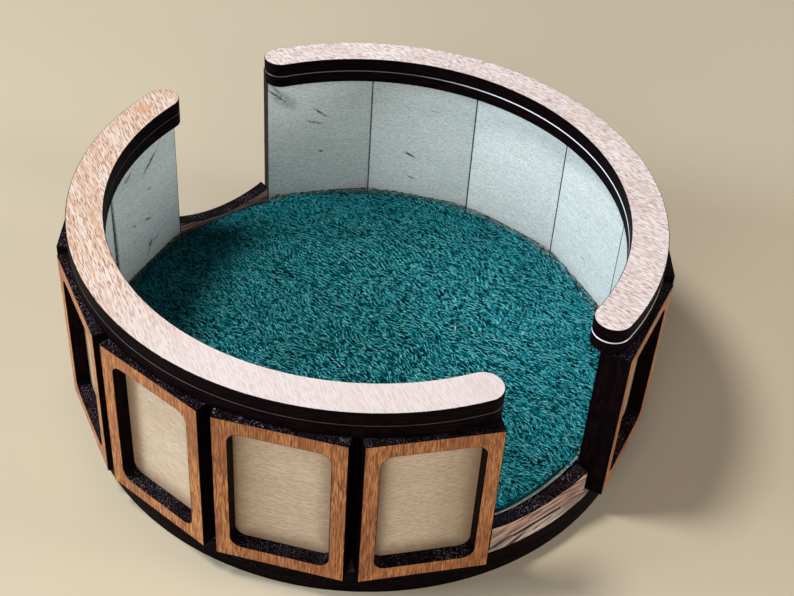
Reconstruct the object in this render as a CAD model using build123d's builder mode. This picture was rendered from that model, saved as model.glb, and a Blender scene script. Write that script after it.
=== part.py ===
from build123d import *
import os
from math import cos, degrees, radians, sin

# A round dice tray cut by laser from one thickness of plywood and glued together.
# The origin is at the middle of the underside, Z is up, and the two open facets face +X and -X.

# Driving dimensions, in millimetres and degrees
ply = 3.0  # every wooden board of the tray
base_radius = 60.0
facets = 14  # the wall is a ring of this many flat places, two of them left open
wall_apothem = 55.0  # from the axis to the inner face of a wall panel
panel_width = 25.1  # the inner corners of two panels side by side just meet
wall_height = 37.0
floor_radius = 54.5
felt_radius = 53.8
felt_thickness = 1.2
rim_inner_radius = 52.6
rim_outer_radius = 60.0
rim_tip_angle = 12.4  # from the middle of an opening to the tip of the rim's round end
window_width = 19.0
window_height = 30.4
window_corner = 2.3
sill_middle_height = 4.1  # above the base, at the lowest point of the scoop
sill_end_height = 6.5
tab_width = 12.0
slot_clearance = 0.1  # a slot is this much larger than its tab, both ways

# Worked out from them
facet_angle = 360 / facets
half_ring = facets // 2  # facets from one opening to the other
panels_per_half = half_ring - 1
base_top = 2 * ply
floor_top = base_top + ply
wall_top = base_top + wall_height
slot_radius = wall_apothem + ply / 2
rim_width = rim_outer_radius - rim_inner_radius
rim_middle_radius = rim_inner_radius + rim_width / 2
rim_end_angle = degrees(rim_width / 2 / rim_middle_radius)  # taken up by a round end
scoop_depth = sill_end_height - sill_middle_height
scoop_radius = ((panel_width / 2) ** 2 + scoop_depth**2) / (2 * scoop_depth)

os.makedirs("parts", exist_ok=True)


def save(part, name):
    """Label a finished piece and write it to its own STEP file."""
    part.label = name
    export_step(part, f"parts/{name}.step")


def facet_plane(facet, apothem):
    """Plane on one facet at the foot of the wall, with x along the wall, y up and z outwards."""
    angle = radians(facet * facet_angle)
    foot = Vector(cos(angle) * apothem, sin(angle) * apothem, base_top)
    return Plane(origin=foot, x_dir=(-sin(angle), cos(angle), 0), z_dir=(cos(angle), sin(angle), 0))


# Base: two discs glued face to face. Only the upper one has slots, so no tab shows underneath.
with BuildPart() as base_disc_lower:
    with BuildSketch(Plane.XY):
        Circle(base_radius)
    extrude(amount=ply)
save(base_disc_lower.part, "base_disc_lower")

with BuildPart() as base_disc_upper:
    with BuildSketch(Plane.XY.offset(ply)):
        Circle(base_radius)
        with PolarLocations(slot_radius, facets):
            Rectangle(ply + slot_clearance, tab_width + slot_clearance, mode=Mode.SUBTRACT)
    extrude(amount=ply)
save(base_disc_upper.part, "base_disc_upper")

# Floor: a smaller disc on the base, just clear of the walls, with the felt glued on it.
with BuildPart() as floor_disc:
    with BuildSketch(Plane.XY.offset(base_top)):
        Circle(floor_radius)
    extrude(amount=ply)
save(floor_disc.part, "floor_disc")

with BuildPart() as felt_pad:
    with BuildSketch(Plane.XY.offset(floor_top)):
        Circle(felt_radius)
    extrude(amount=felt_thickness)
save(felt_pad.part, "felt_pad")


def make_wall_panel(facet):
    """Flat board with one tab on its foot and one on its head, standing on the base."""
    with BuildPart() as wall_panel:
        with BuildSketch(facet_plane(facet, wall_apothem)):
            with Locations((0, wall_height / 2)):
                Rectangle(panel_width, wall_height)
                Rectangle(tab_width, wall_height + 2 * ply)
        extrude(amount=ply)
    return wall_panel.part


def make_window_frame(facet):
    """Board of the same outline without tabs, with a round-cornered window, glued on the panel."""
    with BuildPart() as window_frame:
        with BuildSketch(facet_plane(facet, wall_apothem + ply)):
            with Locations((0, wall_height / 2)):
                Rectangle(panel_width, wall_height)
                RectangleRounded(window_width, window_height, window_corner, mode=Mode.SUBTRACT)
        extrude(amount=ply)
    return window_frame.part


# Walls: six panels and six window frames on each half, counted on from the front opening.
panel_facets = [facet for facet in range(facets) if facet % half_ring != 0]
for number, facet in enumerate(panel_facets, start=1):
    save(make_wall_panel(facet), f"wall_panel_{number:02d}")
    save(make_window_frame(facet), f"window_frame_{number:02d}")


def make_sill(facet):
    """Low board across an opening, with a scooped top and a tab on its foot."""
    with BuildPart() as sill:
        with BuildSketch(facet_plane(facet, wall_apothem)):
            with Locations((0, sill_end_height / 2)):
                Rectangle(panel_width, sill_end_height)
            with Locations((0, sill_middle_height + scoop_radius)):
                Circle(scoop_radius, mode=Mode.SUBTRACT)
            with Locations((0, 0)):
                Rectangle(tab_width, ply, align=(Align.CENTER, Align.MAX))
        extrude(amount=ply)
    return sill.part


save(make_sill(0), "front_sill")
save(make_sill(half_ring), "rear_sill")


def make_rim(middle_angle, foot, with_slots):
    """C-shaped half of the rim with round ends, centred on one side of the tray."""
    sweep = 180 - 2 * (rim_tip_angle + rim_end_angle)
    slot_span = (panels_per_half - 1) * facet_angle
    first_slot = middle_angle - slot_span / 2
    with BuildPart() as rim:
        with BuildSketch(Plane.XY.offset(foot)):
            SlotArc(CenterArc((0, 0), rim_middle_radius, middle_angle - sweep / 2, sweep), rim_width)
            if with_slots:
                with PolarLocations(slot_radius, panels_per_half, first_slot, slot_span, endpoint=True):
                    Rectangle(ply + slot_clearance, tab_width + slot_clearance, mode=Mode.SUBTRACT)
        extrude(amount=ply)
    return rim.part


# Rim: on each half a lower layer that takes the panels' tabs, and an upper layer that covers them.
for side, middle_angle in (("right", 90), ("left", 270)):
    save(make_rim(middle_angle, wall_top, True), f"lower_rim_{side}")
    save(make_rim(middle_angle, wall_top + ply, False), f"upper_rim_{side}")
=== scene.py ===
import random
from math import atan2, cos, pi, radians, sin, sqrt, tau

import bmesh
import bpy
from bpy.props import FloatProperty, FloatVectorProperty, IntProperty, PointerProperty
from mathutils import Euler, Matrix, Vector, noise


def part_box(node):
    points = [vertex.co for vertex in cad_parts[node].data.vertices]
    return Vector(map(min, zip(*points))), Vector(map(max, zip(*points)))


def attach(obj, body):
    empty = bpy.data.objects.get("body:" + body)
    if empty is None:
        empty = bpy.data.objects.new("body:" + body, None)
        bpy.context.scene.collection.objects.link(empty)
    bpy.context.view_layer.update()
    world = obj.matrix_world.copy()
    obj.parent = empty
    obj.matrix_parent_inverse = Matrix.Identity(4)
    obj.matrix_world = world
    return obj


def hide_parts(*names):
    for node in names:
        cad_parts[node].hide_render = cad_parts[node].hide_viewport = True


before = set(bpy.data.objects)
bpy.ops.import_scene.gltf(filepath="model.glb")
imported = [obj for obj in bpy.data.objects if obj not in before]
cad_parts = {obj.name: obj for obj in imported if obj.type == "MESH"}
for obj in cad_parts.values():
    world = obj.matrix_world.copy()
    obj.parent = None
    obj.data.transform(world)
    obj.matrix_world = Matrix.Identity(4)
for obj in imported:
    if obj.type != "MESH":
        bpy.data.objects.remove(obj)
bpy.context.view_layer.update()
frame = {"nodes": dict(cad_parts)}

bl_info = {
    "name": "Felt Floored Dice Tray",
    "version": (1, 0, 0),
    "blender": (4, 5, 0),
    "location": "View3D > Sidebar > Dice Tray",
    "description": "Dresses the boards and the felt of a round laser-cut dice tray",
    "category": "Add Mesh",
}

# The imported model's box, its boards by name, and the sizes that the frame gives
MM = 0.001
PANELS = sorted(name for name in frame["nodes"] if name.startswith("wall_panel_"))
FRAMES = sorted(name for name in frame["nodes"] if name.startswith("window_frame_"))
SILLS = ("front_sill", "rear_sill")
SIDES = ("right", "left")
FACETS = len(PANELS) + len(SILLS)
WALL_FACETS = [facet for facet in range(FACETS) if facet % (FACETS // 2)]  # counted on from the front opening
WALL_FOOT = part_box("base_disc_upper")[1].z
WALL_MIDDLE = (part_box("lower_rim_right")[0].z - WALL_FOOT) / 2
WALL_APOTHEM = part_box("front_sill")[0].x
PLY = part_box("front_sill")[1].x - WALL_APOTHEM
SILL_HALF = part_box("front_sill")[1].y
FELT_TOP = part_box("felt_pad")[1].z
FELT_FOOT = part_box("felt_pad")[0].z
FELT_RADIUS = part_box("felt_pad")[1].x

# The size of a window, which no box of the frame gives
WINDOW_WIDTH = 19.0 * MM
WINDOW_HEIGHT = 30.4 * MM

# Which finish a face of a board gets, by its place in the board's list of materials
OUTER, INNER, EDGE, SEAM = range(4)

# How a board's mesh is read: what is one place, one flat face, a real edge, the face of a veneer, and a bevel
MERGE = 0.001 * MM
FLAT_ANGLE = radians(1)
SHARP_ANGLE = radians(20)
FACE_SHARE = cos(radians(15))
BEVEL_SHARE = cos(radians(60))

# Scorch marks on the inner faces: the facet, then the middle along and up the board, the length, the lean in
# degrees, the width and the strength, with all lengths in millimetres. The upright one is a dark joint.
SCORCHES = (
    (8, -2.4, 30.4, 9.0, -32, 1.1, 0.95), (8, 6.1, 31.2, 4.6, -25, 1.6, 0.6),
    (8, -1.5, 23.7, 1.8, 10, 0.7, 0.8), (8, -0.1, 16.1, 3.4, 17, 0.8, 1.0),
    (8, 4.9, 17.3, 2.4, 30, 0.6, 0.8), (8, -2.7, 9.0, 3.4, -10, 0.6, 0.7),
    (8, 0.1, 7.7, 5.0, -52, 0.7, 0.9), (8, -0.4, 9.0, 2.6, -40, 1.5, 0.9),
    (8, 12.5, 13.0, 58.0, 90, 2.4, 1.0),
    (6, 10.0, 32.4, 9.0, 42, 1.0, 0.9), (6, 10.1, 33.9, 6.0, 50, 1.2, 0.6),
    (6, 8.4, 31.4, 10.0, 40, 4.6, 0.4), (6, -0.1, 27.2, 5.6, 38, 0.7, 1.0),
    (6, 1.1, 24.5, 5.6, 15, 0.9, 0.7), (6, -0.4, 16.1, 2.2, 20, 0.7, 0.9),
    (5, 2.6, 15.9, 4.4, 22, 0.9, 1.0), (5, 1.8, 9.3, 3.2, 18, 0.7, 0.75), (5, -2.8, 29.4, 3.6, 8, 0.6, 0.5),
    (4, -0.8, 7.9, 1.6, 0, 0.4, 0.5), (3, -0.3, 11.1, 2.4, -12, 0.5, 0.5), (9, 3.0, 20.0, 3.0, 20, 0.5, 0.5),
    (1, 2.0, 22.0, 4.0, 15, 0.5, 0.6), (10, -3.0, 12.0, 3.5, -20, 0.5, 0.6),
    (12, 4.0, 25.0, 3.0, 30, 0.5, 0.6),
)

# The orange stain on the left half of the rim: its middle, and half its size along X, Y and Z
STAIN_PLACE = Vector((-53.2, -21.2, 49.0)) * MM
STAIN_SIZE = (1.8 * MM, 2.0 * MM, 1.0 * MM)

# Along X, from none to full: painted glare on the rim's left half, painted glint on the right half's seam
RIM_PAINTED_GLARE = (-15 * MM, 25 * MM)
SEAM_PAINTED_GLINT = (-36 * MM, -14 * MM)

# White lint on the felt: place in millimetres, heading in degrees and length in millimetres
LINT = ((8.9, 19.4, 141, 1.7), (18.7, 30.9, 100, 1.4), (20.0, 23.5, 60, 0.5))
LINT_BEND = 0.3  # in radians
LINT_LIFT = 3  # beside the fibres'

# The layers of loose fibres, from the lowest: name, lift of a fibre's middle, the shares of light, middle and
# dark fibres, and the lint. Lower layers get more dark fibres: painted shade under the upper ones.
FIBRE_LAYERS = (("felt_fibres_under", 0.04 * MM, (3, 3, 6), ()),
                ("felt_fibres_middle", 0.1 * MM, (9, 1, 4), ()),
                ("felt_fibres_over", 0.18 * MM, (10, 1, 3), LINT))
GOLDEN_ANGLE = pi * (3 - sqrt(5))  # from fibre to fibre, which spreads them evenly
OVERHANG = 1.8 * MM  # reach of fibres beyond the pad's cut edge, towards the wall
WALL_GAP = 0.2 * MM  # that they keep clear of the wall
TUCK = 0.07 * MM  # how deep a fibre's ends are tucked in
NAP_PATCH = 8 * MM  # of a patch in which the nap runs one way
NAP_WANDER = 0.7  # turn of the nap from patch to patch, in radians
HEADING_SPREAD = 0.3  # of the fibres beside the nap, in radians
BORDER_SPREAD = 0.2  # of the fibres along the wall beside it
BEND_SPREAD = 0.5  # in radians
LENGTH_RANGE = (0.6, 1.5)  # beside a middling fibre
LIFT_RANGE = (0.3, 1.2)  # beside the layer's
TIP_GIRTH = 0.5  # beside a fibre's middle

# The felt's uneven top: size across and height of its swells and of its clumps
SWELL, SWELL_HEIGHT = 9 * MM, 0.07 * MM
CLUMP, CLUMP_HEIGHT = 1.1 * MM, 0.06 * MM

# Painted shade on the fibres, along X to the rear and outwards from the axis: from, to, and the share at both
REAR_SHADE = (20 * MM, -50 * MM, 0.0, 0.3)
WALL_SHADE = (26 * MM, 52 * MM, 0.0, 0.42)

# Which finish each fibre gets, by its place in the layer's list of materials
LIGHT, MIDDLE, DARK, WHITE = range(4)

# The lamps: name, turn from the camera's left and height in degrees, distance, size, brightness and colour
LAMPS = (
    ("high_lamp", 0, 65, 1.0, 0.22, 0.64, (1.0, 0.98, 0.95)),
    ("window_lamp", 10, 26, 1.2, 0.45, 0.72, (0.74, 0.88, 1.0)),
    ("front_lamp", 72, 25, 1.2, 0.6, 0.38, (1.0, 0.96, 0.91)),
    ("right_lamp", 169, 19, 1.2, 0.3, 0.38, (1.0, 0.98, 0.97)),
)
SKY_COLOUR = (1.0, 0.98, 0.96)
BACKDROP_COLOUR = (0.82, 0.8, 0.76)
SENSOR_WIDTH = 36  # of the camera, in millimetres


def srgb(red, green, blue):
    """Linear colour of an eight bit one, as a colour property keeps it."""
    shares = (red / 255, green / 255, blue / 255)
    return tuple(s / 12.92 if s <= 0.04045 else ((s + 0.055) / 1.055) ** 2.4 for s in shares)


def colour_property(name, description, red, green, blue):
    """Colour, with its default given in eight bit steps."""
    return FloatVectorProperty(name=name, description=description, subtype="COLOR", size=3, min=0, max=1,
                               default=srgb(red, green, blue))


def length_property(name, description, millimetres):
    """Length, with its default given in millimetres."""
    return FloatProperty(name=name, description=description, unit="LENGTH", min=0, precision=5,
                         default=millimetres * MM)


def angle_property(name, description, degrees):
    """Angle, with its default given in degrees."""
    return FloatProperty(name=name, description=description, subtype="ANGLE", default=radians(degrees))


class TrayBoards(bpy.types.PropertyGroup):
    """How the boards are cut, and which way their grain runs."""

    arris: length_property("Arris", "Width of a board's eased corners", 0.16)
    fine_arris: length_property("Fine Arris", "The same on the pale boards inside", 0.11)
    right_seam: length_property("Right Seam", "Bevel along the rim's right half", 0.22)
    left_seam: length_property("Left Seam", "The same on the left half", 0.13)
    right_grain: angle_property("Right Grain", "Grain of the rim's right half", 12)
    left_grain: angle_property("Left Grain", "Grain of the rim's left half", 166)
    base_grain: angle_property("Base Grain", "Grain of the base and the floor", 96)


class TrayWoods(bpy.types.PropertyGroup):
    """Colours of the plywood and its burnt edges."""

    rim_right: colour_property("Rim Right", "Face of the rim's right half", 240, 228, 226)
    rim_right_deep: colour_property("Rim Right Streak", "Darker streaks on that half", 212, 192, 189)
    rim_left: colour_property("Rim Left", "Face of the rim's left half", 228, 211, 200)
    rim_left_deep: colour_property("Rim Left Streak", "Darker streaks on that half", 206, 166, 138)
    rim_stain: colour_property("Rim Stain", "Orange stain near that half's rear end", 206, 146, 94)
    # Painted glare on the front end of the rim's left half
    rim_worn: colour_property("Rim Worn", "Worn front end of that half", 227, 216, 218)
    rim_pore: colour_property("Rim Pore", "Open pores on the rim", 146, 98, 74)
    inner: colour_property("Wall Inside", "Inner face of the wall panels", 221, 226, 225)
    inner_deep: colour_property("Wall Inside Streak", "Fine streaks on that face", 203, 210, 207)
    inner_pore: colour_property("Wall Inside Pore", "Open pores on that face", 166, 172, 162)
    inner_fibre: colour_property("Wall Inside Fibre", "Raised fibres on that face", 252, 254, 252)
    # Colour that the inner face turns towards its foot
    inner_smoke: colour_property("Wall Inside Smoke", "Smoky foot of that face", 150, 128, 126)
    scorch: colour_property("Scorch", "Scorch marks on that face", 24, 26, 26)
    floor: colour_property("Floor", "Bare ring round the felt", 236, 238, 226)
    window: colour_property("Wall In Window", "Wall panels seen in the windows", 206, 190, 170)
    window_deep: colour_property("Wall In Window Streak", "Fine streaks on that face", 192, 170, 145)
    window_pore: colour_property("Wall In Window Pore", "Open pores on that face", 168, 138, 108)
    # Painted shade on the wall face close to the frame, in the window's recess
    window_soot: colour_property("Wall In Window Soot", "That face close to the frame", 128, 90, 54)
    frame: colour_property("Frame", "Face of the window frames", 196, 132, 80)
    frame_deep: colour_property("Frame Streak", "Redder streaks on the frames", 130, 73, 42)
    frame_pore: colour_property("Frame Pore", "Open pores on the frames", 84, 44, 26)
    sill: colour_property("Sill", "Face of the sills", 208, 178, 162)
    sill_deep: colour_property("Sill Streak", "Streaks on the sills, pores on the floor", 150, 112, 96)
    sill_pore: colour_property("Sill Pore", "Black streaks on the sills", 44, 30, 28)
    sill_foot: colour_property("Sill Foot", "Burnt foot of the sills", 30, 20, 18)
    base: colour_property("Base", "Face of the base discs", 238, 226, 208)
    base_deep: colour_property("Base Streak", "Darker streaks on the base", 176, 154, 136)
    # Painted shade on the base away from its openings, as between the frames
    base_smoke: colour_property("Base Smoke", "The base away from its openings", 34, 24, 22)
    char: colour_property("Char", "Burnt edge of a board", 7, 3, 5)
    char_core: colour_property("Char Core", "Middle veneer in a burnt edge", 20, 9, 10)
    # Painted glints on burnt edges that face up
    ash: colour_property("Ash", "Pale specks on burnt edges that face up", 158, 150, 170)
    # Painted glint along the seam of the rim's right half
    seam: colour_property("Seam", "Worn line along the rim's right half", 236, 236, 244)
    seam_dull: colour_property("Seam Dull", "The same on the left half", 50, 42, 46)


class TrayFelt(bpy.types.PropertyGroup):
    """The felt pad and its loose fibres."""

    light: colour_property("Light", "Lightest fibres", 152, 255, 255)
    ground: colour_property("Ground", "Strands of the matted felt", 34, 188, 206)
    deep: colour_property("Deep", "Darkest fibres", 0, 40, 48)
    # Painted shade in the hollows between the strands
    hollow: colour_property("Hollow", "Hollows between the strands", 0, 10, 14)
    # Colour of the painted shade on the fibres, to the rear and towards the wall
    shade: colour_property("Shade", "What the fibres darken to", 0, 24, 28)
    lint: colour_property("Lint", "White lint", 250, 255, 255)
    lint_deep: colour_property("Lint Shade", "Darker stretches of the lint", 225, 240, 245)
    nap: angle_property("Nap", "Direction that most fibres lie in", 11)
    fibre_count: IntProperty(name="Fibres", description="Loose fibres in each layer", default=11200,
                             min=0, max=11200)
    border_count: IntProperty(name="Border Fibres", description="Fibres along the wall in each layer",
                              default=800, min=0, max=1200)
    fibre_length: length_property("Fibre Length", "Length of a middling fibre", 1.0)
    fibre_width: length_property("Fibre Width", "Width of a fibre bundle", 0.165)
    seed: IntProperty(name="Seed", description="Seed of the nap and the fibres", default=4, min=1)


class TrayStage(bpy.types.PropertyGroup):
    """Camera and table."""

    table: colour_property("Table", "Plain pale table under the tray", 203, 189, 165)
    view_azimuth: angle_property("View Azimuth", "Direction of the camera from the tray's axis", -38.85)
    view_elevation: angle_property("View Elevation", "Height of the camera above the table", 44.255)
    view_distance: length_property("View Distance", "From the camera to the underside's middle", 312.69)
    aim_yaw: angle_property("Aim Yaw", "Turn of the camera to the right of that middle", -0.506)
    aim_pitch: angle_property("Aim Pitch", "Tilt of the camera above that middle", 3.116)
    aim_roll: angle_property("Aim Roll", "Roll of the camera about its own axis", 2.967)
    lens: length_property("Lens", "Focal length on a sensor 36 mm wide", 63.22)


# Materials. A board carries two vector attributes: "board" is a place in the board's own frame, and "grain"
# is the same place turned to the grain and shifted, so that no two boards look alike.

class Finish:
    """The nodes of one material. Feature sizes are in metres: along, across and through the grain."""

    def __init__(self, name, roughness, specular):
        self.material = bpy.data.materials.new(name)
        self.material.use_nodes = True
        self.nodes = self.material.node_tree.nodes
        self.links = self.material.node_tree.links
        self.shader = self.nodes["Principled BSDF"]
        self.shader.inputs["Roughness"].default_value = roughness
        self.shader.inputs["Specular IOR Level"].default_value = specular

    def feed(self, socket, value):
        """Link a socket to another one, or set it."""
        if isinstance(value, bpy.types.NodeSocket):
            self.links.new(value, socket)
        elif socket.type == "RGBA":
            socket.default_value = (*value, 1)
        else:
            socket.default_value = value

    def attribute(self, name):
        """Vector attribute of the mesh."""
        node = self.nodes.new("ShaderNodeAttribute")
        node.attribute_name = name
        return node.outputs["Vector"]

    def object_place(self):
        """Place in the row frame, which is also the piece's own."""
        return self.nodes.new("ShaderNodeTexCoord").outputs["Object"]

    def facing(self):
        """Direction that the surface faces, before any relief."""
        return self.nodes.new("ShaderNodeNewGeometry").outputs["True Normal"]

    def vector(self, operation, first, second=(0, 0, 0)):
        """Vector made from one or two others, or the length of one."""
        node = self.nodes.new("ShaderNodeVectorMath")
        node.operation = operation
        self.feed(node.inputs[0], first)
        self.feed(node.inputs[1], second)
        return node.outputs["Value" if operation == "LENGTH" else "Vector"]

    def turned(self, place, angle):
        """Place turned about Z."""
        node = self.nodes.new("ShaderNodeVectorRotate")
        node.rotation_type = "Z_AXIS"
        node.inputs["Angle"].default_value = angle
        self.feed(node.inputs["Vector"], place)
        return node.outputs["Vector"]

    def within(self, place, frame_matrix, half_sizes):
        """Distance from the middle of an oval, as a share of the way to its edge."""
        node = self.nodes.new("ShaderNodeMapping")
        node.vector_type = "TEXTURE"
        node.inputs["Location"].default_value = frame_matrix.to_translation()
        node.inputs["Rotation"].default_value = frame_matrix.to_euler()
        node.inputs["Scale"].default_value = half_sizes
        self.feed(node.inputs["Vector"], place)
        return self.vector("LENGTH", node.outputs["Vector"])

    def number(self, operation, first, second=0.0):
        """Number made from one or two others."""
        node = self.nodes.new("ShaderNodeMath")
        node.operation = operation
        self.feed(node.inputs[0], first)
        self.feed(node.inputs[1], second)
        return node.outputs[0]

    def axes(self, place):
        """The three numbers of a vector."""
        node = self.nodes.new("ShaderNodeSeparateXYZ")
        self.feed(node.inputs[0], place)
        return node.outputs

    def pattern(self, place, size, detail=2.0, distortion=0.0):
        """Noise from 0 to 1 with features of that size."""
        node = self.nodes.new("ShaderNodeTexNoise")
        node.inputs["Scale"].default_value = 1
        node.inputs["Detail"].default_value = detail
        node.inputs["Distortion"].default_value = distortion
        self.feed(node.inputs["Vector"], self.vector("MULTIPLY", place, tuple(1 / s for s in size)))
        return node.outputs["Fac"]

    def grained(self, size, detail=2.0):
        """Noise along the board's grain, with features of that size."""
        return self.pattern(self.attribute("grain"), size, detail)

    def from_pores(self, place, size):
        """Distance from the nearest of many scattered places, as a share of that size."""
        node = self.nodes.new("ShaderNodeTexVoronoi")
        node.voronoi_dimensions = "2D"
        node.inputs["Scale"].default_value = 1
        self.feed(node.inputs["Vector"], self.vector("MULTIPLY", place, tuple(1 / s for s in size)))
        return node.outputs["Distance"]

    def between(self, value, low, high, start=0.0, end=1.0):
        """Smooth step of a value, from start at low to end at high."""
        node = self.nodes.new("ShaderNodeMapRange")
        node.interpolation_type = "SMOOTHSTEP"
        for name, setting in (("From Min", low), ("From Max", high), ("To Min", start), ("To Max", end)):
            node.inputs[name].default_value = setting
        self.feed(node.inputs["Value"], value)
        return node.outputs["Result"]

    def times(self, first, second):
        """Product of two numbers."""
        return self.number("MULTIPLY", first, second)

    def ragged(self, distance, waver, reach):
        """Distance lengthened by up to that reach, as a pattern says."""
        return self.number("ADD", distance, self.times(waver, reach))

    def mix(self, share, first, second):
        """First colour where share is 0, second where it is 1."""
        node = self.nodes.new("ShaderNodeMix")
        node.data_type = "RGBA"
        self.feed(node.inputs["Factor"], share)
        self.feed(node.inputs[6], first)
        self.feed(node.inputs[7], second)
        return node.outputs[2]

    def complete(self, colour, height=None, distance=0.0):
        """Set the shader's colour, and its relief where given, and return the material."""
        self.feed(self.shader.inputs["Base Color"], colour)
        if height is not None:
            bump = self.nodes.new("ShaderNodeBump")
            bump.inputs["Strength"].default_value = 1
            bump.inputs["Distance"].default_value = distance
            self.feed(bump.inputs["Height"], height)
            self.feed(self.shader.inputs["Normal"], bump.outputs["Normal"])
        return self.material


def direction(azimuth, elevation=0.0):
    """Unit vector, from its turn about Z and its height above level."""
    return Vector((cos(azimuth) * cos(elevation), sin(azimuth) * cos(elevation), sin(elevation)))


def across(length, width):
    """Size of a feature of the grain, in metres, from its length and width in millimetres."""
    return length * MM, width * MM, width * MM


def veneer(finish, pale, deep, pore, streak, spacing, reach, depth=0.85):
    """Colour and height of a veneer: a broad figure, fine streaks and short open pores."""
    place = finish.attribute("grain")
    figure = finish.pattern(place, across(26, 5))
    streaks = finish.pattern(place, streak, detail=4)
    crowd = finish.between(finish.pattern(place, across(6, 1.2), detail=1), 0.3, 0.6, 0.45, 1.0)
    near = finish.between(finish.from_pores(place, spacing), 0.75 * reach, 1.1 * reach, 1.0, 0.0)
    holes = finish.times(near, crowd)
    tone = finish.number("ADD", finish.times(figure, 0.2), finish.times(streaks, 0.8))
    colour = finish.mix(finish.between(tone, 0.4, 0.6), pale, deep)
    colour = finish.mix(finish.times(holes, depth), colour, pore)
    return colour, finish.number("SUBTRACT", streaks, holes)


def rim_wood_right(woods):
    """Pale pinkish veneer of the right half of the rim, full of short pores."""
    finish = Finish("rim_wood_right", 0.35, 0.4)
    colour, height = veneer(finish, woods.rim_right, woods.rim_right_deep, woods.rim_pore, across(4, 0.2),
                            across(2.2, 0.32), 0.28)
    return finish.complete(colour, height, 0.015 * MM)


def rim_wood_left(woods):
    """Tan veneer of the left half of the rim, with a pale, smooth painted glare towards its front end."""
    finish = Finish("rim_wood_left", 0.35, 0.4)
    colour, height = veneer(finish, woods.rim_left, woods.rim_left_deep, woods.rim_pore, across(6, 0.22),
                            across(3.0, 0.36), 0.28, 0.9)
    place = finish.object_place()
    stain = finish.within(place, Matrix.Translation(STAIN_PLACE), STAIN_SIZE)
    stain = finish.number("ADD", stain, finish.grained(across(2, 0.5)))
    colour = finish.mix(finish.between(stain, 0.9, 1.7, 0.6, 0.0), colour, woods.rim_stain)
    # Painted glare towards the front end
    painted_sheen_and_wear = finish.between(finish.axes(place)[0], *RIM_PAINTED_GLARE, 0.0, 0.7)
    return finish.complete(finish.mix(painted_sheen_and_wear, colour, woods.rim_worn), height, 0.015 * MM)


def scorched(finish, colour, scorch):
    """Colour with the scorch marks of the inner faces on it."""
    place = finish.object_place()
    marks = 0.0
    for facet, along, up, length, lean, width, strength in SCORCHES:
        middle = facet_place(facet) @ Matrix.Translation((along * MM, up * MM, 0))
        oval = middle @ Matrix.Rotation(radians(lean), 4, "Z")
        reach = finish.within(place, oval, (length * MM / 2, width * MM / 2, PLY / 2))
        marks = finish.number("MAXIMUM", finish.between(reach, 0.35, 1.0, strength, 0.0), marks)
    fray = finish.between(finish.grained(across(0.8, 0.2)), 0.36, 0.54, 0.35, 1.0)
    return finish.mix(finish.times(marks, fray), colour, scorch)


def inner_wall_wood(woods):
    """Pale wall face with fine level grain, darker towards its foot, burnt sides and a few scorch marks."""
    finish = Finish("inner_wall_wood", 0.5, 0.2)
    colour, height = veneer(finish, woods.inner, woods.inner_deep, woods.inner_pore, across(3, 0.22),
                            across(1.3, 0.45), 0.26, 0.6)
    fibres = finish.between(finish.grained(across(0.9, 0.16)), 0.62, 0.68, 0.0, 0.8)
    colour = finish.mix(fibres, colour, woods.inner_fibre)
    along, up, _ = finish.axes(finish.attribute("board"))
    low = finish.ragged(up, finish.grained(across(6, 4)), 4 * MM)
    # Darker towards the foot
    colour = finish.mix(finish.between(low, 5.4 * MM, 9 * MM, 0.2, 0.0), colour, woods.inner_smoke)
    nicks = finish.pattern(finish.attribute("board"), across(0.5, 0.5))
    side = finish.ragged(finish.number("ABSOLUTE", along), nicks, 0.16 * MM)
    burn = finish.between(side, SILL_HALF - 0.16 * MM, SILL_HALF - 0.04 * MM, 0.0, 0.92)
    colour = finish.mix(burn, scorched(finish, colour, woods.scorch), woods.char)
    return finish.complete(colour, height, 0.012 * MM)


def floor_wood(woods):
    """Pale bare ply of the floor disc."""
    finish = Finish("floor_wood", 0.5, 0.2)
    colour, height = veneer(finish, woods.floor, woods.inner_deep, woods.sill_deep, across(5, 0.3),
                            across(2, 0.6), 0.2, 0.4)
    return finish.complete(colour, height, 0.012 * MM)


def window_wall_wood(woods):
    """Tan wall face with fine level grain, and painted shade close to the window's edge, in its recess."""
    finish = Finish("window_wall_wood", 0.5, 0.2)
    colour, height = veneer(finish, woods.window, woods.window_deep, woods.window_pore, across(2.2, 0.2),
                            across(2, 0.5), 0.24, 0.5)
    along, up, _ = finish.axes(finish.attribute("board"))
    across_gap = finish.number("SUBTRACT", WINDOW_WIDTH / 2, finish.number("ABSOLUTE", along))
    from_middle = finish.number("ABSOLUTE", finish.number("SUBTRACT", up, WALL_MIDDLE))
    upright_gap = finish.number("SUBTRACT", WINDOW_HEIGHT / 2, from_middle)
    gap = finish.number("MINIMUM", across_gap, upright_gap)
    gap = finish.ragged(gap, finish.grained(across(3, 0.8)), 0.8 * MM)
    # Painted shade in the window's recess, close to the frame
    colour = finish.mix(finish.between(gap, 0.1 * MM, 5 * MM, 0.6, 0.0), colour, woods.window_soot)
    return finish.complete(colour, height, 0.012 * MM)


def frame_wood(woods):
    """Orange-brown veneer with upright grain and short dark pores."""
    finish = Finish("frame_wood", 0.45, 0.3)
    colour, height = veneer(finish, woods.frame, woods.frame_deep, woods.frame_pore, across(3.5, 0.22),
                            across(3.0, 0.36), 0.3, 0.7)
    cloud = finish.grained(across(14, 5), detail=1)
    colour = finish.mix(finish.between(cloud, 0.42, 0.7, 0.0, 0.5), colour, woods.frame_deep)
    return finish.complete(colour, height, 0.03 * MM)


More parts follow.
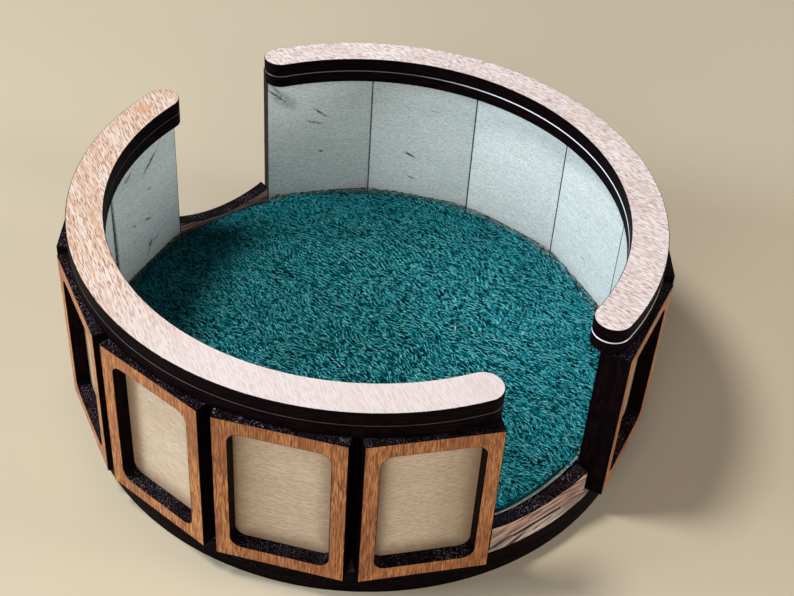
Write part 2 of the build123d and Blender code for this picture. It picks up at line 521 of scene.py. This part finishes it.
def sill_wood(woods):
    """Pinkish brown veneer with black lengthwise streaks and a burnt foot."""
    finish = Finish("sill_wood", 0.5, 0.3)
    colour, height = veneer(finish, woods.sill, woods.sill_deep, woods.sill_pore, across(6, 0.4),
                            across(7, 0.7), 0.32)
    low = finish.ragged(finish.axes(finish.attribute("board"))[1], finish.grained(across(6, 1)), MM)
    colour = finish.mix(finish.between(low, 0.6 * MM, 1.2 * MM, 0.85, 0.0), colour, woods.sill_foot)
    return finish.complete(colour, height, 0.03 * MM)


def base_wood(woods):
    """Grey-tan veneer of the base, with painted shade except in front of the two openings."""
    finish = Finish("base_wood", 0.4, 0.4)
    colour, height = veneer(finish, woods.base, woods.base_deep, woods.char, across(7, 0.5),
                            across(16, 1.1), 0.2, 0.8)
    across_tray = finish.number("ABSOLUTE", finish.axes(finish.object_place())[1])
    # Painted shade on the base away from the openings, as between the frames
    painted_gap_shade = finish.between(across_tray, SILL_HALF, SILL_HALF + 3 * MM, 0.0, 0.85)
    return finish.complete(finish.mix(painted_gap_shade, colour, woods.base_smoke), height, 0.02 * MM)


def burnt_edge(woods):
    """Near-black cut edge: three veneers, the ribs that a laser leaves, and painted glints in specks where it
    faces up.
    """
    finish = Finish("burnt_edge", 0.5, 0.02)
    through = finish.axes(finish.attribute("board"))[2]
    from_core = finish.number("ABSOLUTE", finish.number("SUBTRACT", through, PLY / 2))
    ribs = finish.pattern(finish.attribute("board"), (0.35 * MM, 0.35 * MM, 6 * MM))
    blotches = finish.grained((3 * MM, 3 * MM, 0.6 * MM))
    core = finish.times(finish.between(from_core, 0.8 * MM, 0.9 * MM, 1.0, 0.25),
                        finish.between(blotches, 0.35, 0.65))
    colour = finish.mix(core, woods.char, woods.char_core)
    specks = finish.between(finish.grained(across(0.36, 0.24), detail=3), 0.55, 0.72)
    patches = finish.between(finish.grained(across(7, 5), detail=1), 0.35, 0.65, 0.15, 0.85)
    # Painted glints on the specks that face up
    upwards = finish.between(finish.axes(finish.facing())[2], 0.5, 0.95)
    ash = finish.times(finish.times(specks, patches), upwards)
    return finish.complete(finish.mix(ash, colour, woods.ash), finish.number("ADD", ribs, specks), 0.04 * MM)


def seam_gloss_and_painted_glint(woods):
    """Glossy line where the two layers of the right half of the rim meet, with a painted glint towards the
    front.
    """
    finish = Finish("seam_gloss_and_painted_glint", 0.25, 1.0)
    # Painted glint, rising along X towards the front
    painted_sheen_and_wear = finish.between(finish.axes(finish.object_place())[0], *SEAM_PAINTED_GLINT, 0.0, 0.9)
    return finish.complete(finish.mix(painted_sheen_and_wear, woods.seam_dull, woods.seam))


def seam_dull(woods):
    """The same line on the left half, broken and dull."""
    finish = Finish("seam_dull", 0.5, 0.25)
    painted_sheen_and_wear = finish.between(finish.grained(across(4, 3)), 0.36, 0.6)
    return finish.complete(finish.mix(painted_sheen_and_wear, woods.char_core, woods.seam_dull))


def strands(finish, place, length, width):
    """Thin winding lines, 1 along each and 0 between, as long and as far apart as given."""
    waves = finish.pattern(place, across(length, width), detail=1, distortion=0.4)
    from_line = finish.number("ABSOLUTE", finish.number("SUBTRACT", waves, 0.5))
    return finish.between(from_line, 0.01, 0.07, 1.0, 0.0)


def felt_ground(felt):
    """Matted felt, with strands drawn out along the nap and some that cross it, and painted shade in the
    hollows between.
    """
    finish = Finish("felt_ground", 1.0, 0.0)
    place = finish.attribute("grain")
    napped = strands(finish, place, 1.6, 0.42)
    crossing = strands(finish, finish.turned(place, radians(40)), 1.3, 0.5)
    tone = finish.number("MAXIMUM", napped, finish.times(crossing, 0.7))
    drift = finish.between(finish.pattern(place, across(5, 2.2)), 0.3, 0.7, 0.45, 0.65)
    # The hollows between the strands get painted shade
    colour = finish.mix(finish.times(tone, drift), felt.hollow, felt.ground)
    return finish.complete(colour, tone, 0.15 * MM)


def fibre_finish(name, pale, deep, shadow):
    """Fibres of one tone, uneven along their length, with painted shade to the rear and towards the wall."""
    finish = Finish(name, 0.9, 0.05)
    place = finish.object_place()
    patches = finish.between(finish.pattern(place, (0.7 * MM, 0.7 * MM, 0.7 * MM), detail=1), 0.3, 0.7)
    # Painted shade to the rear and towards the wall
    rearwards = finish.between(finish.axes(place)[0], *REAR_SHADE)
    outwards = finish.between(finish.vector("LENGTH", place), *WALL_SHADE)
    darker = finish.number("ADD", rearwards, outwards)
    return finish.complete(finish.mix(darker, finish.mix(patches, pale, deep), shadow))


def table_finish(stage):
    """Plain pale table."""
    finish = Finish("table", 0.7, 0.1)
    cloud = finish.pattern(finish.object_place(), (90 * MM, 60 * MM, 60 * MM), detail=1)
    darker = tuple(0.94 * channel for channel in stage.table)
    return finish.complete(finish.mix(cloud, stage.table, darker))


def shared(recipe, settings):
    """A material, made once and then used again by its name, which is its recipe's."""
    return bpy.data.materials.get(recipe.__name__) or recipe(settings)


# Boards

def facet_place(facet):
    """A board's own frame on one facet of the wall: x along the wall, y up from its foot and z outwards."""
    angle = facet * tau / FACETS
    foot = Vector((cos(angle) * WALL_APOTHEM, sin(angle) * WALL_APOTHEM, WALL_FOOT))
    upright = Euler((pi / 2, 0, pi / 2)).to_matrix().to_4x4()
    return Matrix.Translation(foot) @ Matrix.Rotation(angle, 4, "Z") @ upright


def level_place(foot, turn):
    """The frame of a disc or a rim half, with x along its grain and z up from its underside."""
    return Matrix.Translation((0, 0, foot)) @ Matrix.Rotation(turn, 4, "Z")


def write_vectors(mesh, name, vectors):
    """Keep one vector for each vertex."""
    attribute = mesh.attributes.new(name, "FLOAT_VECTOR", "POINT")
    attribute.data.foreach_set("vector", [number for vector in vectors for number in vector])


def add_piece(name, mesh, materials):
    """Object of a finished mesh, at the origin, that rides on the tray."""
    for material in materials:
        mesh.materials.append(material)
    piece = bpy.data.objects.new(name, mesh)
    bpy.context.scene.collection.objects.link(piece)
    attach(piece, "root")
    return piece


def shade(body):
    """Smooth faces, with every real edge kept sharp."""
    for face in body.faces:
        face.smooth = True
    for edge in body.edges:
        edge.smooth = edge.is_manifold and edge.calc_face_angle() < SHARP_ANGLE


def dress_board(node, place, finishes, arris, upright_grain=False, seam=False, snug=False):
    """Stand in for a packed board with a copy of it that has eased arrises, a grain and burnt edges.

    A snug board keeps its inner arrises sharp, so that no light shows where it meets the next one.
    """
    body = bmesh.new()
    body.from_mesh(frame["nodes"][node].data)
    bmesh.ops.remove_doubles(body, verts=body.verts, dist=MERGE)
    bmesh.ops.dissolve_limit(body, angle_limit=FLAT_ANGLE, verts=body.verts, edges=body.edges)
    to_board = place.inverted()
    closed = [edge for edge in body.edges if edge.is_manifold]
    corners = [edge for edge in closed if edge.calc_face_angle_signed() > SHARP_ANGLE]
    if snug:
        corners = [edge for edge in corners if max((to_board @ vertex.co).z for vertex in edge.verts) > MERGE]
    bmesh.ops.bevel(body, geom=corners, offset=arris, offset_type="OFFSET", segments=1 if seam else 2,
                    profile=0.5, affect="EDGES", material=-1, clamp_overlap=not seam)
    outwards = place.to_3x3() @ Vector((0, 0, 1))
    for face in body.faces:
        facing = face.normal.dot(outwards)
        if abs(facing) > FACE_SHARE:
            face.material_index = OUTER if facing > 0 else INNER
        else:
            face.material_index = SEAM if seam and facing > BEVEL_SHARE else EDGE
    shade(body)
    mesh = bpy.data.meshes.new(node)
    body.to_mesh(mesh)
    body.free()
    places = [to_board @ vertex.co for vertex in mesh.vertices]
    draws = random.Random(node)
    shift = Vector([draws.uniform(-1, 1) for _ in range(3)])
    write_vectors(mesh, "board", places)
    turned = [Vector((p.y, p.x, p.z)) for p in places] if upright_grain else places
    write_vectors(mesh, "grain", [p + shift for p in turned])
    piece = add_piece(f"{node}_board", mesh, finishes)
    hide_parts(node)


def board_finishes(context, outer, inner=None):
    """Finishes of a board's outer face, its inner face, which may be like it, and its burnt edges."""
    return [shared(recipe, context.scene.tray_woods) for recipe in (outer, inner or outer, burnt_edge)]


class TRAY_OT_discs(bpy.types.Operator):
    """Dress the two discs of the base and the floor disc on them."""

    bl_idname = "tray.discs"
    bl_label = "Discs"

    def execute(self, context):
        boards = context.scene.tray_boards
        discs = (("base_disc_lower", base_wood, "base_ply", boards.arris),
                 ("base_disc_upper", base_wood, "base_ply", boards.arris),
                 ("floor_disc", floor_wood, "pale_ply", boards.fine_arris))
        for node, recipe, slot, arris in discs:
            place = level_place(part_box(node)[0].z, boards.base_grain)
            dress_board(node, place, board_finishes(context, recipe), arris)
        return {"FINISHED"}


class TRAY_OT_wall_panels(bpy.types.Operator):
    """Dress the wall panels, pale inside and tan in the windows."""

    bl_idname = "tray.wall_panels"
    bl_label = "Wall Panels"

    def execute(self, context):
        finishes = board_finishes(context, window_wall_wood, inner_wall_wood)
        arris = context.scene.tray_boards.fine_arris
        for node, facet in zip(PANELS, WALL_FACETS):
            dress_board(node, facet_place(facet), finishes, arris, snug=True)
        return {"FINISHED"}


class TRAY_OT_window_frames(bpy.types.Operator):
    """Dress the window frames, with upright grain."""

    bl_idname = "tray.window_frames"
    bl_label = "Window Frames"

    def execute(self, context):
        finishes = board_finishes(context, frame_wood)
        arris = context.scene.tray_boards.arris
        for node, facet in zip(FRAMES, WALL_FACETS):
            place = facet_place(facet) @ Matrix.Translation((0, 0, PLY))
            dress_board(node, place, finishes, arris, upright_grain=True)
        return {"FINISHED"}


class TRAY_OT_sills(bpy.types.Operator):
    """Dress the low boards across the two openings."""

    bl_idname = "tray.sills"
    bl_label = "Sills"

    def execute(self, context):
        finishes = board_finishes(context, sill_wood)
        for node, facet in zip(SILLS, (0, FACETS // 2)):
            dress_board(node, facet_place(facet), finishes, context.scene.tray_boards.arris)
        return {"FINISHED"}


class TRAY_OT_rim_halves(bpy.types.Operator):
    """Dress the two layers of both halves of the rim."""

    bl_idname = "tray.rim_halves"
    bl_label = "Rim Halves"

    def execute(self, context):
        boards = context.scene.tray_boards
        halves = ((rim_wood_right, seam_gloss_and_painted_glint, boards.right_grain, boards.right_seam),
                  (rim_wood_left, seam_dull, boards.left_grain, boards.left_seam))
        for side, (face_recipe, seam_recipe, turn, bevel) in zip(SIDES, halves):
            finishes = board_finishes(context, face_recipe)
            finishes.append(shared(seam_recipe, context.scene.tray_woods))
            for layer, arris in (("lower", bevel), ("upper", boards.arris)):
                node = f"{layer}_rim_{side}"
                place = level_place(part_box(node)[0].z, turn)
                dress_board(node, place, finishes, arris, seam=layer == "lower")
        return {"FINISHED"}


# Felt

def fibre_limit(place):
    """How far from the axis a fibre may reach: nearly to the wall, or in an opening as far as the pad."""
    bearing = atan2(place.y, place.x)
    facet = round(bearing * FACETS / tau)
    if facet % (FACETS // 2) == 0:
        return FELT_RADIUS
    to_wall = (WALL_APOTHEM - WALL_GAP) / cos(bearing - facet * tau / FACETS)
    return min(FELT_RADIUS + OVERHANG, to_wall)


def felt_relief(place):
    """Height of the felt's surface above its even level, in metres."""
    return noise.noise(place / SWELL) * SWELL_HEIGHT + noise.noise(place / CLUMP) * CLUMP_HEIGHT


class TRAY_OT_felt_pad(bpy.types.Operator):
    """Make the felt pad: a slab with a soft shoulder and an uneven top."""

    bl_idname = "tray.felt_pad"
    bl_label = "Felt Pad"

    rings: IntProperty(name="Rings", description="Rings of faces on the top", default=64, min=4)
    sectors: IntProperty(name="Sectors", description="Faces round the pad", default=240, min=12)
    shoulder: length_property("Shoulder", "Rounding of the cut edge", 0.35)
    sink: length_property("Sink", "How far the even top lies under the solid's", 0.08)
    swirl: length_property("Swirl", "How far the nap is drawn aside", 1.4)

    def execute(self, context):
        felt = context.scene.tray_felt
        pad = bmesh.new()
        top = FELT_TOP - self.sink
        outline = [(0, FELT_FOOT), (FELT_RADIUS, FELT_FOOT), (FELT_RADIUS, top - self.shoulder)]
        outline += [(FELT_RADIUS - self.shoulder * (1 - cos(turn)), top - self.shoulder * (1 - sin(turn)))
                    for turn in (pi / 6, pi / 3, pi / 2)]
        flat_radius = FELT_RADIUS - self.shoulder
        outline += [(flat_radius * (1 - ring / self.rings), top) for ring in range(1, self.rings + 1)]
        corners = [pad.verts.new((radius, 0, height)) for radius, height in outline]
        profile = [pad.edges.new(pair) for pair in zip(corners, corners[1:])]
        bmesh.ops.spin(pad, geom=corners + profile, cent=(0, 0, 0), axis=(0, 0, 1), dvec=(0, 0, 0), angle=tau,
                       steps=self.sectors, use_merge=True)
        bmesh.ops.remove_doubles(pad, verts=pad.verts, dist=MERGE)
        # The spin leaves its faces in another order each run
        pad.verts.index_update()
        pad.faces.sort(key=lambda face: sum(vertex.index ** 2 for vertex in face.verts))
        bmesh.ops.recalc_face_normals(pad, faces=pad.faces)
        for vertex in pad.verts:
            if vertex.co.z > top - self.shoulder:
                vertex.co.z += felt_relief(vertex.co)
        shade(pad)
        mesh = bpy.data.meshes.new("felt_pad")
        pad.to_mesh(mesh)
        pad.free()
        to_nap = level_place(FELT_FOOT, felt.nap).inverted()
        noise.seed_set(felt.seed)  # or it would take the clock
        places = [vertex.co for vertex in mesh.vertices]
        drawn = [place + noise.noise_vector(place / NAP_PATCH) * self.swirl for place in places]
        write_vectors(mesh, "grain", [to_nap @ place for place in drawn])
        piece = add_piece("felt_pad_cloth", mesh, [shared(felt_ground, felt)])
        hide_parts("felt_pad")
        return {"FINISHED"}


class TRAY_OT_felt_fibres(bpy.types.Operator):
    """Lay layers of loose fibres on the felt, most of them along the nap, and a little lint."""

    bl_idname = "tray.felt_fibres"
    bl_label = "Felt Fibres"

    points: IntProperty(name="Points", description="Points along a fibre", default=3, min=3)
    jitter: length_property("Jitter", "Stray of a fibre from its even place", 0.14)
    lint_girth: FloatProperty(name="Lint Girth", description="Width of lint beside a fibre's", default=1.7)

    def lay_fibre(self, curve, place, heading, length, bend, lift, tone, girth=1.0):
        """Add one bent fibre to the curve, with its ends tucked into the felt."""
        spline = curve.splines.new("POLY")
        spline.material_index = tone
        spline.points.add(self.points - 1)
        place = place - direction(heading) * length / 2
        for step, point in enumerate(spline.points):
            share = step / (self.points - 1)
            arch = sin(pi * share)
            level = FELT_TOP + felt_relief(place) + arch * lift - TUCK
            reach = min(1, fibre_limit(place) / max(place.length, MM))
            point.co = (place.x * reach, place.y * reach, level, 1)
            point.radius = girth * (TIP_GIRTH + (1 - TIP_GIRTH) * arch)
            turn = heading + bend * (share - 0.25)
            place += direction(turn) * length / (self.points - 1)

    def make_layer(self, context, name, lift, shares, lint, draws, finishes):
        """Make one layer of evenly spread fibres, a curve turned into a mesh."""
        felt = context.scene.tray_felt
        curve = bpy.data.curves.new(name, "CURVE")
        curve.dimensions = "3D"
        curve.bevel_depth = felt.fibre_width / 2
        curve.bevel_resolution = 0
        for finish in finishes:
            curve.materials.append(finish)
        start = draws.uniform(0, tau)
        for number in range(felt.fibre_count):
            radius = (FELT_RADIUS + MM) * sqrt((number + 0.5) / felt.fibre_count)
            bearing = start + number * GOLDEN_ANGLE
            stray = Vector((draws.gauss(0, self.jitter), draws.gauss(0, self.jitter), 0))
            place = Vector((radius * cos(bearing), radius * sin(bearing), 0)) + stray
            heading = felt.nap + NAP_WANDER * noise.noise(place / NAP_PATCH)
            heading += draws.gauss(0, HEADING_SPREAD)
            length = felt.fibre_length * draws.uniform(*LENGTH_RANGE)
            tone = draws.choices((LIGHT, MIDDLE, DARK), shares)[0]
            bend = draws.gauss(0, BEND_SPREAD)
            self.lay_fibre(curve, place, heading, length, bend, lift * draws.uniform(*LIFT_RANGE), tone)
        for number in range(felt.border_count):
            bearing = number * tau / felt.border_count
            place = direction(bearing) * (FELT_RADIUS + OVERHANG - draws.uniform(0, OVERHANG + MM))
            heading = bearing + pi / 2 + draws.gauss(0, BORDER_SPREAD)
            self.lay_fibre(curve, place, heading, felt.fibre_length, 0, lift, draws.choice((MIDDLE, DARK)))
        for x, y, degrees, length in lint:
            place = Vector((x, y, 0)) * MM
            self.lay_fibre(curve, place, radians(degrees), length * MM, LINT_BEND, LINT_LIFT * lift, WHITE,
                           self.lint_girth)
        carrier = bpy.data.objects.new(name, curve)
        context.scene.collection.objects.link(carrier)
        context.view_layer.update()
        mesh = bpy.data.meshes.new_from_object(carrier.evaluated_get(context.evaluated_depsgraph_get()))
        bpy.data.objects.remove(carrier)
        return add_piece(name, mesh, ())

    def execute(self, context):
        felt = context.scene.tray_felt
        draws = random.Random(felt.seed)
        # Light, middle and dark copies of one fibre; the dark ones are partly painted shade
        tones = (("fibre_light", felt.light, felt.ground), ("fibre_middle", felt.ground, felt.deep),
                 ("fibre_dark", felt.deep, felt.hollow), ("lint", felt.lint, felt.lint_deep))
        finishes = [fibre_finish(*tone, felt.shade) for tone in tones]
        pieces = [self.make_layer(context, *layer, draws, finishes) for layer in FIBRE_LAYERS]
        return {"FINISHED"}


# Stage

def camera_turn(stage):
    """The camera's own axes: aimed at the middle of the underside, then yawed, pitched and rolled."""
    outwards = direction(stage.view_azimuth, stage.view_elevation)
    aimed = (-outwards).to_track_quat("-Z", "Y").to_matrix().to_4x4()
    yaw = Matrix.Rotation(-stage.aim_yaw, 4, "Y")
    pitch = Matrix.Rotation(stage.aim_pitch, 4, "X")
    roll = Matrix.Rotation(stage.aim_roll, 4, "Z")
    return Matrix.Translation(outwards * stage.view_distance) @ aimed @ yaw @ pitch @ roll


def add_lamp(name, azimuth, elevation, distance, size, brightness, colour):
    """Round soft lamp that faces the tray. Brightness is what a white face turned to it shows."""
    lamp = bpy.data.lights.new(name, "AREA")
    lamp.shape = "DISK"
    lamp.size = size
    lamp.energy = brightness * (pi * distance) ** 2
    lamp.color = colour
    holder = bpy.data.objects.new(name, lamp)
    outwards = direction(azimuth, elevation)
    holder.location = outwards * distance
    holder.rotation_euler = (-outwards).to_track_quat("-Z", "Y").to_euler()
    bpy.context.scene.collection.objects.link(holder)


class TRAY_OT_stage(bpy.types.Operator):
    """Set up the camera, a plain pale table and soft lamps."""

    bl_idname = "tray.stage"
    bl_label = "Stage"

    shift_x: FloatProperty(name="Shift X", description="Sideways shift of the frame", default=0.0581)
    shift_y: FloatProperty(name="Shift Y", description="Upward shift of the frame", default=-0.0017)
    sky: FloatProperty(name="Sky", description="Strength of the even light", default=0.07, min=0)
    table_radius: FloatProperty(name="Table Radius", description="Size of the round table", unit="LENGTH",
                                default=4, min=0)

    def add_camera(self, context):
        stage = context.scene.tray_stage
        lens = bpy.data.cameras.new("camera")
        lens.sensor_width = SENSOR_WIDTH
        lens.lens = stage.lens / MM
        lens.shift_x = self.shift_x
        lens.shift_y = self.shift_y
        lens.clip_start = 10 * MM
        camera = bpy.data.objects.new("camera", lens)
        camera.matrix_world = camera_turn(stage)
        context.scene.collection.objects.link(camera)
        context.scene.camera = camera

    def add_world(self, context):
        """Even light from all round, and a plain pale backdrop where the camera or gloss sees it."""
        world = bpy.data.worlds.new("studio")
        context.scene.world = world
        world.use_nodes = True
        nodes, links = world.node_tree.nodes, world.node_tree.links
        light = nodes["Background"]
        light.inputs["Color"].default_value = (*SKY_COLOUR, 1)
        light.inputs["Strength"].default_value = self.sky
        seen = nodes.new("ShaderNodeBackground")
        seen.inputs["Color"].default_value = (*BACKDROP_COLOUR, 1)
        seen.inputs["Strength"].default_value = 1
        path = nodes.new("ShaderNodeLightPath")
        share = path.outputs["Is Camera Ray"]
        for ray in ("Is Glossy Ray", "Is Transmission Ray"):
            either = nodes.new("ShaderNodeMath")
            either.operation = "MAXIMUM"
            links.new(share, either.inputs[0])
            links.new(path.outputs[ray], either.inputs[1])
            share = either.outputs[0]
        choice = nodes.new("ShaderNodeMixShader")
        links.new(share, choice.inputs[0])
        links.new(light.outputs[0], choice.inputs[1])
        links.new(seen.outputs[0], choice.inputs[2])
        links.new(choice.outputs[0], nodes["World Output"].inputs["Surface"])

    def add_table(self, context):
        table = bmesh.new()
        bmesh.ops.create_circle(table, cap_ends=True, segments=64, radius=self.table_radius)
        mesh = bpy.data.meshes.new("table")
        table.to_mesh(mesh)
        table.free()
        mesh.materials.append(table_finish(context.scene.tray_stage))
        floor = bpy.data.objects.new("table", mesh)
        context.scene.collection.objects.link(floor)

    def execute(self, context):
        context.scene.view_settings.view_transform = "Standard"
        self.add_camera(context)
        self.add_world(context)
        self.add_table(context)
        left = context.scene.tray_stage.view_azimuth - pi / 2
        for name, turn, elevation, *settings in LAMPS:
            add_lamp(name, left + radians(turn), radians(elevation), *settings)
        return {"FINISHED"}


class TRAY_PT_panel(bpy.types.Panel):
    """The tray's pieces and settings in the sidebar."""

    bl_idname = "TRAY_PT_panel"
    bl_label = "Dice Tray"
    bl_space_type = "VIEW_3D"
    bl_region_type = "UI"
    bl_category = "Dice Tray"

    def draw(self, context):
        for operator in OPERATORS:
            self.layout.operator(operator.bl_idname)
        for group in GROUPS:
            settings = getattr(context.scene, group)
            for name in settings.bl_rna.properties.keys():
                if name not in ("rna_type", "name"):
                    self.layout.prop(settings, name)


GROUPS = {"tray_boards": TrayBoards, "tray_woods": TrayWoods, "tray_felt": TrayFelt, "tray_stage": TrayStage}
OPERATORS = (TRAY_OT_stage, TRAY_OT_discs, TRAY_OT_wall_panels, TRAY_OT_window_frames, TRAY_OT_sills,
             TRAY_OT_rim_halves, TRAY_OT_felt_pad, TRAY_OT_felt_fibres)


def register():
    """Make the settings, operators and panel known to Blender."""
    for cls in (*GROUPS.values(), *OPERATORS, TRAY_PT_panel):
        bpy.utils.register_class(cls)
    for group, cls in GROUPS.items():
        setattr(bpy.types.Scene, group, PointerProperty(type=cls))


def unregister():
    """Take them out again."""
    for group in GROUPS:
        delattr(bpy.types.Scene, group)
    for cls in reversed((*GROUPS.values(), *OPERATORS, TRAY_PT_panel)):
        bpy.utils.unregister_class(cls)


def main():
    """Make every piece in order."""
    register()
    bpy.ops.tray.stage()
    bpy.ops.tray.discs()
    bpy.ops.tray.wall_panels()
    bpy.ops.tray.window_frames()
    bpy.ops.tray.sills()
    bpy.ops.tray.rim_halves()
    bpy.ops.tray.felt_pad()
    bpy.ops.tray.felt_fibres()


if __name__ == "__main__":
    main()
